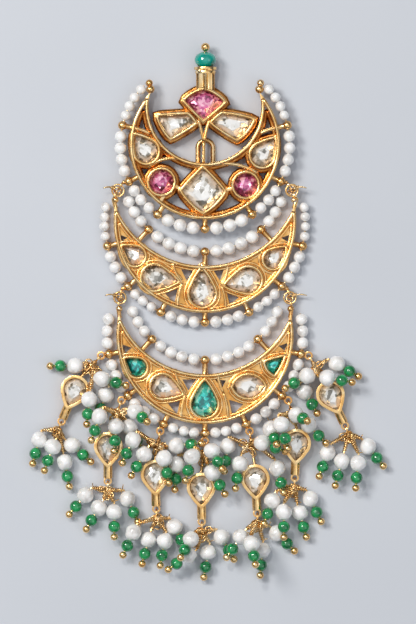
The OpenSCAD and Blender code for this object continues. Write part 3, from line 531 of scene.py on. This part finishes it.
# Wires and coils
class Wirework:
    """Round wires along paths, collected into one mesh."""

    TAPER_FROM = 0.7
    TAPER_SHARE = 0.35
    COIL_STEPS = 12
    TAIL_STEPS = 6
    TAIL_SLOWING = 0.35
    TAIL_SPREAD = 0.7
    GROUND_GAP = 0.05
    LOOP_STEPS = 20
    FINE_SIDES = 6

    def __init__(self):
        self.points = []
        self.faces = []

    def wire(self, path, radius_mm, closed=False, sides=8, taper=False):
        """A tube along a path; with taper it thins out towards its end."""
        path = [Vector(point) for point in path]
        count = len(path)
        first = len(self.points)
        last_across = None
        for k, point in enumerate(path):
            if closed:
                way = (path[(k + 1) % count] - path[k - 1]).normalized()
            else:
                way = (path[min(k + 1, count - 1)] - path[max(k - 1, 0)]).normalized()
            if last_across is None:
                last_across = Vector((0, 0, 1)) if closed else way.orthogonal()
            across = (last_across - last_across.dot(way) * way).normalized()
            last_across = across
            up = way.cross(across)
            radius = radius_mm * MM
            if taper and not closed:
                past = max(0.0, k / (count - 1) - self.TAPER_FROM)
                radius *= 1 - self.TAPER_SHARE * past / (1 - self.TAPER_FROM)
            for j in range(sides):
                turn = 2 * math.pi * j / sides
                self.points.append(point + radius * (across * math.cos(turn) + up * math.sin(turn)))
        rings = count if closed else count - 1
        for k in range(rings):
            a, b = first + k * sides, first + ((k + 1) % count) * sides
            for j in range(sides):
                j2 = (j + 1) % sides
                self.faces.append((a + j, a + j2, b + j2, b + j))
        if not closed:
            self.faces.append(tuple(first + j for j in reversed(range(sides))))
            self.faces.append(tuple(first + (count - 1) * sides + j for j in range(sides)))

    def coil(self, start, way, radius_mm, wire_mm, turns, length_mm, tail_mm=0.0, phase=0.0):
        """A wire wound round a pin, with a short tail that curls away at its end."""
        way = way.normalized()
        across = way.orthogonal().normalized()
        up = way.cross(across)
        steps = int(self.COIL_STEPS * turns)
        path = []
        for k in range(steps + 1):
            turn = phase + 2 * math.pi * turns * k / steps
            ring = across * math.cos(turn) + up * math.sin(turn)
            path.append(start + (way * length_mm * k / steps + ring * radius_mm) * MM)
        if tail_mm:
            last = path[-1]
            heading = (path[-1] - path[-2]).normalized()
            ring = across * math.cos(turn) + up * math.sin(turn)
            for k in range(1, self.TAIL_STEPS + 1):
                share = k / self.TAIL_STEPS
                step = heading * (1 - self.TAIL_SLOWING * share) + ring * self.TAIL_SPREAD * share
                last = last + step * tail_mm / self.TAIL_STEPS * MM
                last.z = max(last.z, (wire_mm + self.GROUND_GAP) * MM)
                path.append(last.copy())
        self.wire(path, wire_mm, sides=self.FINE_SIDES, taper=bool(tail_mm))

    def loop(self, centre, normal, radius_mm, wire_mm):
        """A closed ring of wire."""
        normal = normal.normalized()
        across = normal.orthogonal().normalized()
        up = normal.cross(across)
        turns = [2 * math.pi * k / self.LOOP_STEPS for k in range(self.LOOP_STEPS)]
        path = [
            centre + (across * math.cos(turn) + up * math.sin(turn)) * radius_mm * MM for turn in turns
        ]
        self.wire(path, wire_mm, closed=True, sides=self.FINE_SIDES)

    def make(self, name, look):
        mesh = bpy.data.meshes.new(name)
        mesh.from_pydata([tuple(point) for point in self.points], [], self.faces)
        mesh.update()
        for polygon in mesh.polygons:
            polygon.use_smooth = True
        piece(name, mesh, look)


def circle_arc(centre, radius, start, end):
    shares = [k / CRESCENT_STEPS for k in range(CRESCENT_STEPS + 1)]
    return [Vector(centre) + polar(radius, start + (end - start) * share) for share in shares]


def horn_height(tier, radius, bite_r):
    """The height above the centre at which two circles of a crescent cross."""
    return (tier["bite_y"] ** 2 + radius ** 2 - bite_r ** 2) / (2 * tier["bite_y"])


def crescent(tier, radius, bite_r):
    """The lower arc and the bite of a crescent, each from horn to horn."""
    y = horn_height(tier, radius, bite_r)
    outer = math.degrees(math.asin(y / radius))
    inner = math.degrees(math.asin((y - tier["bite_y"]) / bite_r))
    low_arc = circle_arc((0, 0), radius, 180 - outer, 360 + outer)
    bite = circle_arc((0, tier["bite_y"]), bite_r, 360 + inner, 180 - inner)
    return low_arc, bite


def widened(points, reach_mm):
    """A closed outline, moved outwards."""
    count = len(points)
    turn = sum(points[k - 1].x * points[k].y - points[k - 1].y * points[k].x for k in range(count))
    moved = []
    for k, point in enumerate(points):
        along = (points[(k + 1) % count] - points[k - 1]).normalized() * math.copysign(1, turn)
        moved.append(point + Vector((along.y, -along.x)) * reach_mm)
    return moved


# Rounded gold edges along the rims, the settings and the strips, and lower ridges beside them. A
# drop is how far below the crescent's top a wire's middle lies; a ridge's reach is how far outside
# the middle of a setting's wall it runs. The top crescent is open behind: its ridges are low seats.
RIM_EDGE = {"drop": 0.07, "radius": RIM_WALL / 2 + 0.02}
BEZEL_EDGE = {"drop": 0.18, "radius": BEZEL_WALL / 2 + 0.03}
STRIP_EDGE = {"drop": 0.4, "radius": BEZEL_WALL / 2 + 0.01}
OPEN_RIDGE = {"drop": 2.0, "radius": 0.5, "reach": 0.46}
BACKED_RIDGE = {"drop": 0.72, "radius": 0.24, "reach": 0.66}
RIM_RIDGE_INSET = RIM_WALL + 0.25
for number, tier in enumerate(TIERS):
    top = tier["base"] + FRAME_DEPTH

    def laid(points, wire):
        return [placed(point, top - wire["drop"], tier["cy"]) for point in points]

    edges = Wirework()
    for arc in crescent(tier, tier["radius"] - RIM_WALL / 2, tier["bite_r"] + RIM_WALL / 2):
        edges.wire(laid(arc, RIM_EDGE), RIM_EDGE["radius"])
    for corners in SETTINGS[number]:
        edges.wire(laid(outline(corners), BEZEL_EDGE), BEZEL_EDGE["radius"], closed=True)
    for start, end in STRIPS[number]:
        path = side(start, (*end, 0)) + [Vector(end)]
        edges.wire(laid(path, STRIP_EDGE), STRIP_EDGE["radius"])
    edges.make(f"tier{number + 1}_edges", GOLD)

    ridges = Wirework()
    ridge = OPEN_RIDGE if number == 0 else BACKED_RIDGE
    for arc in crescent(tier, tier["radius"] - RIM_RIDGE_INSET, tier["bite_r"] + RIM_RIDGE_INSET):
        ridges.wire(laid(arc, ridge), ridge["radius"])
    for corners in SETTINGS[number]:
        around = widened(outline(corners), ridge["reach"])
        ridges.wire(laid(around, ridge), ridge["radius"], closed=True)
    # The top crescent's low seats take the painted-shade gold
    ridges.make(f"tier{number + 1}_ridges", SHADED_SEAT_GOLD if number == 0 else GOLD)


# Gold sheet between the settings, darkened as painted shade for lying low between them
def prism(points, bottom, top, cy):
    """A flat outline raised from one height to another."""
    work = bmesh.new()
    lower = [work.verts.new(placed(point, bottom, cy)) for point in points]
    face = work.faces.new(lower)
    if face.calc_area() and face.normal.z > 0:
        face.normal_flip()
    made = bmesh.ops.extrude_face_region(work, geom=[face])
    up = [item for item in made["geom"] if isinstance(item, bmesh.types.BMVert)]
    bmesh.ops.translate(work, verts=up, vec=(0, 0, (top - bottom) * MM))
    bmesh.ops.recalc_face_normals(work, faces=work.faces)
    mesh = bpy.data.meshes.new("prism")
    work.to_mesh(mesh)
    work.free()
    return mesh


def temporary(mesh):
    made = bpy.data.objects.new("temporary", mesh)
    scene.collection.objects.link(made)
    return made


SHEET_BOTTOM, SHEET_TOP = 1.25, 1.65
CUT_BOTTOM, CUT_TOP = 0.9, 2.2
SHEET_INSET = 0.3
SHEET_ROUNDING = 0.09
SHEET_FOLD = 0.8
SHEET_SMOOTH_FOLD = math.radians(40)


def gold_sheet(number):
    """The sheet that closes the spaces between a crescent's settings, with its pierced places."""
    tier = TIERS[number]
    low_arc, bite = crescent(tier, tier["radius"] - SHEET_INSET, tier["bite_r"] + SHEET_INSET)
    body = temporary(prism(low_arc + bite[1:-1], SHEET_BOTTOM, SHEET_TOP, tier["cy"]))
    holes = [outline(corners) for corners in SETTINGS[number]]
    holes += [[Vector(point) for point in hole] for hole in PIERCED[number]]
    cutters = [temporary(prism(hole, CUT_BOTTOM, CUT_TOP, tier["cy"])) for hole in holes]
    for cutter in cutters:
        cut = body.modifiers.new("cut", "BOOLEAN")
        cut.operation = "DIFFERENCE"
        cut.solver = "EXACT"
        cut.object = cutter
    bpy.context.view_layer.update()
    mesh = bpy.data.meshes.new_from_object(body.evaluated_get(bpy.context.evaluated_depsgraph_get()))
    for leftover in (body, *cutters):
        bpy.data.objects.remove(leftover)
    work = bmesh.new()
    work.from_mesh(mesh)
    sharp = [
        edge for edge in work.edges
        if len(edge.link_faces) == 2 and edge.calc_face_angle(0) > SHEET_FOLD
    ]
    bmesh.ops.bevel(
        work, geom=sharp, offset=SHEET_ROUNDING * MM, segments=2, affect="EDGES", clamp_overlap=True
    )
    for face in work.faces:
        face.smooth = True
    work.to_mesh(mesh)
    work.free()
    mesh.set_sharp_from_angle(angle=SHEET_SMOOTH_FOLD)
    piece(f"tier{number + 1}_sheet", mesh, GOLD_SHEET)


gold_sheet(1)
gold_sheet(2)


# Wire wraps and tails of the fringe. A drop has the angle of its stub on the lowest crescent, its
# stone's middle and the way it hangs; the steps along it are the source's.
DROPS = (
    (191, -24.2, -14.8, -113), (218, -18.0, -25.4, -91), (245, -9.3, -30.6, -88),
    (270, -0.7, -33.0, -89), (295, 9.4, -31.4, -87), (322, 17.1, -24.8, -93), (349, 23.4, -15.7, -65),
)
DROP_RADIUS = 2.4
STRING_OFFSET = 1.75
EYELET_OUT = 1.45
EYELET_STEP = 0.75
UPPER_ROOT_STEP = 1.75
TUBE_END = 5.9
FOOT_STEP = 0.55
LOWER_ROOT_STEP = 0.92
FRINGE_PEARL = 3.0
ENTRY_REACH = FRINGE_PEARL / 2 + 0.3
# A pin has its pearl's place, the way it points in the photo's plane, and how far it is tipped up.
UPPER_PINS = (
    ((-24.2, -10.4, 180, 0), (-19.2, -12.8, -15, 0), (-21.5, -16.6, -96, 0), (-18.5, -15.8, -110, 0)),
    ((-19.5, -19.8, -110, 0), (-16.5, -21.6, -95, 0), (-14.0, -21.8, -60, 0), (-13.0, -18.8, -40, 50)),
    ((-11.3, -26.8, -121, 0), (-13.4, -24.2, -115, 0), (-7.6, -27.6, -79, 0), (-5.3, -25.2, 5, 0)),
    ((-5.2, -28.8, -95, 0), (-2.4, -27.2, -105, 0), (1.4, -30.2, -60, 0), (1.3, -26.2, -60, 35)),
    ((4.2, -25.4, -97, 0), (6.5, -28.6, -100, 0), (10.6, -24.7, -20, 0), (13.5, -29.5, -75, 0)),
    ((12.3, -22.1, -70, 50), (14.2, -21.2, -75, 0), (19.3, -21.4, -46, 0), (17.0, -19.4, -30, 60)),
    ((24.6, -10.0, -30, 0), (22.8, -12.6, -10, 0), (19.0, -12.2, -150, 0), (18.6, -15.2, -60, 0)),
)
LOWER_PINS = (
    ((-30.9, -24.1, -105, 0), (-28.3, -25.5, -110, 0), (-26.1, -28.3, -80, 0), (-24.8, -25.2, -41, 0)),
    ((-22.3, -34.5, -130, 0), (-19.8, -36.8, -120, 0), (-16.9, -37.6, -90, 0), (-14.4, -35.2, -66, 0)),
    ((-13.3, -41.4, -115, 0), (-10.5, -42.8, -105, 0), (-7.5, -43.0, -100, 0), (-5.7, -40.4, -62, 0)),
    ((-3.0, -45.6, -145, 0), (0.6, -45.2, -100, 0), (3.1, -42.4, -60, 0), (-2.6, -42.6, -120, 35)),
    ((6.7, -42.2, -125, 0), (10.7, -44.8, -95, 0), (13.4, -41.6, -45, 0), (8.7, -43.4, -80, 35)),
    ((12.6, -35.4, -110, 0), (14.7, -37.6, -90, 0), (17.7, -37.8, -75, 0), (19.7, -35.2, -65, 0)),
    ((22.9, -26.6, -110, 0), (25.5, -28.2, -105, 0), (28.5, -28.5, -95, 0), (30.4, -25.4, -52, 0)),
)


def drop_points(drop):
    """The places along a drop, from the eyelet that it hangs in to the root of its lower bunch."""
    centre, heading = Vector(drop[1:3]), polar(1, drop[3])
    top = centre - DROP_RADIUS * heading
    stub = Vector((0, TIERS[2]["cy"])) + polar(TIERS[2]["radius"] + STRING_OFFSET, drop[0])
    eyelet = stub + polar(EYELET_OUT, drop[0])
    shank = (top - eyelet).normalized()
    bail = eyelet + EYELET_STEP * shank
    ring = centre + (TUBE_END + FOOT_STEP + EYELET_STEP) * heading
    return {
        "heading": heading, "shank": shank, "bail": bail, "ring": ring,
        "upper_root": bail + UPPER_ROOT_STEP * shank, "lower_root": ring + LOWER_ROOT_STEP * heading,
    }


def solid_middles(obj):
    """The middles of the separate solids in a CAD node's mesh."""
    mesh = obj.data
    points = np.empty(3 * len(mesh.vertices))
    mesh.vertices.foreach_get("co", points)
    points = points.reshape(-1, 3)
    pairs = np.empty(2 * len(mesh.edges), dtype=np.int64)
    mesh.edges.foreach_get("vertices", pairs)
    pairs = pairs.reshape(-1, 2)
    places, same = np.unique(np.round(points, 7), axis=0, return_inverse=True)
    pairs = same.reshape(-1)[pairs]
    label = np.arange(len(places))
    while True:
        lowest = np.minimum(label[pairs[:, 0]], label[pairs[:, 1]])
        fresh = label.copy()
        np.minimum.at(fresh, pairs[:, 0], lowest)
        np.minimum.at(fresh, pairs[:, 1], lowest)
        fresh = fresh[fresh]
        if (fresh == label).all():
            break
        label = fresh
    solids = [places[label == one] for one in np.unique(label)]
    return [Vector((solid.min(axis=0) + solid.max(axis=0)) / 2) for solid in solids]


# A wrap's coil and loops, in mm; a wire's size is its radius
WRAP_RADIUS = 0.34
WRAP_WIRE = 0.14
WRAP_TURNS_PER_MM = 2.5
WRAP_START = 0.12
WRAP_END_GAP = 0.35
WRAP_SHORTEST = 0.8
ROOT_REACH = {"upper": 0.78, "lower": 0.25}
THIN_WIRE = 0.11
PIN_LOOPS_AT = (0.1, 0.95)
ROOT_LOOPS_AT = (0.3, 0.85, 1.4)
LOWEST_FIRST = 0.02
chance = random.Random(11)


def carried_pearl(middles, pin):
    """The middle of the pearl on a pin; of two at about one place, the lower."""
    flat = placed(pin[:2], 0).xy
    return min(middles, key=lambda spot: (spot.xy - flat).length + LOWEST_FIRST * spot.z)


def pin_way(pin):
    tip_up = math.radians(pin[3])
    return Vector((*(polar(1, pin[2]) * math.cos(tip_up)), math.sin(tip_up)))


def drawn_way(lowest, highest):
    """A way drawn by chance, its rise between the two."""
    return Vector((chance.uniform(-1, 1), chance.uniform(-1, 1), chance.uniform(lowest, highest)))


for row, bunches in (("upper", UPPER_PINS), ("lower", LOWER_PINS)):
    wraps = Wirework()
    middles = solid_middles(nodes[f"{row}_fringe_pearls"])
    for drop, pins in zip(DROPS, bunches):
        at = drop_points(drop)
        root = placed(at[f"{row}_root"], WIRE_Z)
        hang = (at["shank"] if row == "upper" else at["heading"]).to_3d()
        for pin in pins:
            bend = carried_pearl(middles, pin) - pin_way(pin) * ENTRY_REACH * MM
            out = (bend - root).normalized()
            across = (out - out.dot(hang) * hang).normalized() if row == "upper" else out
            start = root + across * ROOT_REACH[row] * MM
            out = bend - start
            length = max(WRAP_SHORTEST, out.length / MM - WRAP_END_GAP)
            wraps.coil(
                start + out.normalized() * WRAP_START * MM, out, WRAP_RADIUS, WRAP_WIRE,
                WRAP_TURNS_PER_MM * length, length,
                tail_mm=chance.uniform(0.5, 1.0), phase=chance.uniform(0, 6.28),
            )
            for step in PIN_LOOPS_AT:
                centre = start + out.normalized() * step * MM
                askew = drawn_way(-0.6, 0.6).cross(out)
                wraps.loop(centre, askew, chance.uniform(0.55, 0.78), WRAP_WIRE)
        for step in ROOT_LOOPS_AT:
            rise = Vector((0, 0, chance.uniform(0.3, 0.8)))
            centre = root + (hang * step + rise) * MM
            wraps.loop(centre, drawn_way(0.2, 1), chance.uniform(0.65, 0.95), WRAP_WIRE)
        if row == "upper":
            start = placed(at["bail"] + 0.75 * at["shank"], WIRE_Z)
            wraps.coil(start, hang, 0.38, THIN_WIRE, turns=4, length_mm=0.8)
        else:
            start = placed(at["ring"] + 0.45 * at["heading"], WIRE_Z)
            wraps.coil(start, hang, 0.45, THIN_WIRE, turns=4, length_mm=0.8, tail_mm=1.1)
    wraps.make(f"{row}_fringe_wraps", GOLD_WIRE)

# Wire that was wound round each jump ring and left with a free end
RING_LOOP_WIRE = 0.13
TAIL_WIRE = 0.15
TAIL_POINTS = 7
tails = Wirework()
for name, obj in nodes.items():
    if "_link_" in name:
        spots = [Vector(corner) for corner in obj.bound_box]
        ring = sum(spots, Vector()) / len(spots)
        out = 1 if ring.x > 0 else -1
        for k in range(3):
            centre = ring + Vector((0.15 * out * (k - 1), 0.3 * (k - 1), 0.1 * k)) * MM
            way = Vector((chance.uniform(-1, 1), chance.uniform(-1, 1), 0.5))
            tails.loop(centre, way, chance.uniform(0.5, 0.7), RING_LOOP_WIRE)
        start = ring + Vector((0.5 * out, 0.3, 0.2)) * MM
        tails.coil(start, Vector((out, 0.35, 0.02)), 0.3, WRAP_WIRE, turns=3, length_mm=0.8)
        reach = chance.uniform(0.3, 0.45)
        path = [
            ring + Vector((out * (0.5 + reach * k), 0.3 + 0.2 * k - 0.03 * k * k, 0.25 + 0.05 * k)) * MM
            for k in range(TAIL_POINTS)
        ]
        tails.wire(path, TAIL_WIRE, taper=True)
tails.make("link_tails", GOLD_WIRE)


# Uneven pearls
FRINGE_UNEVENNESS = {"strength_mm": 0.46, "mid_level": 0.42}
STRING_UNEVENNESS = {"strength_mm": 0.26, "mid_level": 0.22}
unevenness = bpy.data.textures.new("unevenness", "CLOUDS")
unevenness.noise_scale = 0.0021
unevenness.noise_depth = 1
for name, obj in nodes.items():
    if name.endswith("_pearls"):
        amount = FRINGE_UNEVENNESS if "fringe" in name else STRING_UNEVENNESS
        shape = obj.modifiers.new("uneven", "DISPLACE")
        shape.texture = unevenness
        shape.texture_coords = "LOCAL"
        shape.strength = amount["strength_mm"] * MM
        shape.mid_level = amount["mid_level"]
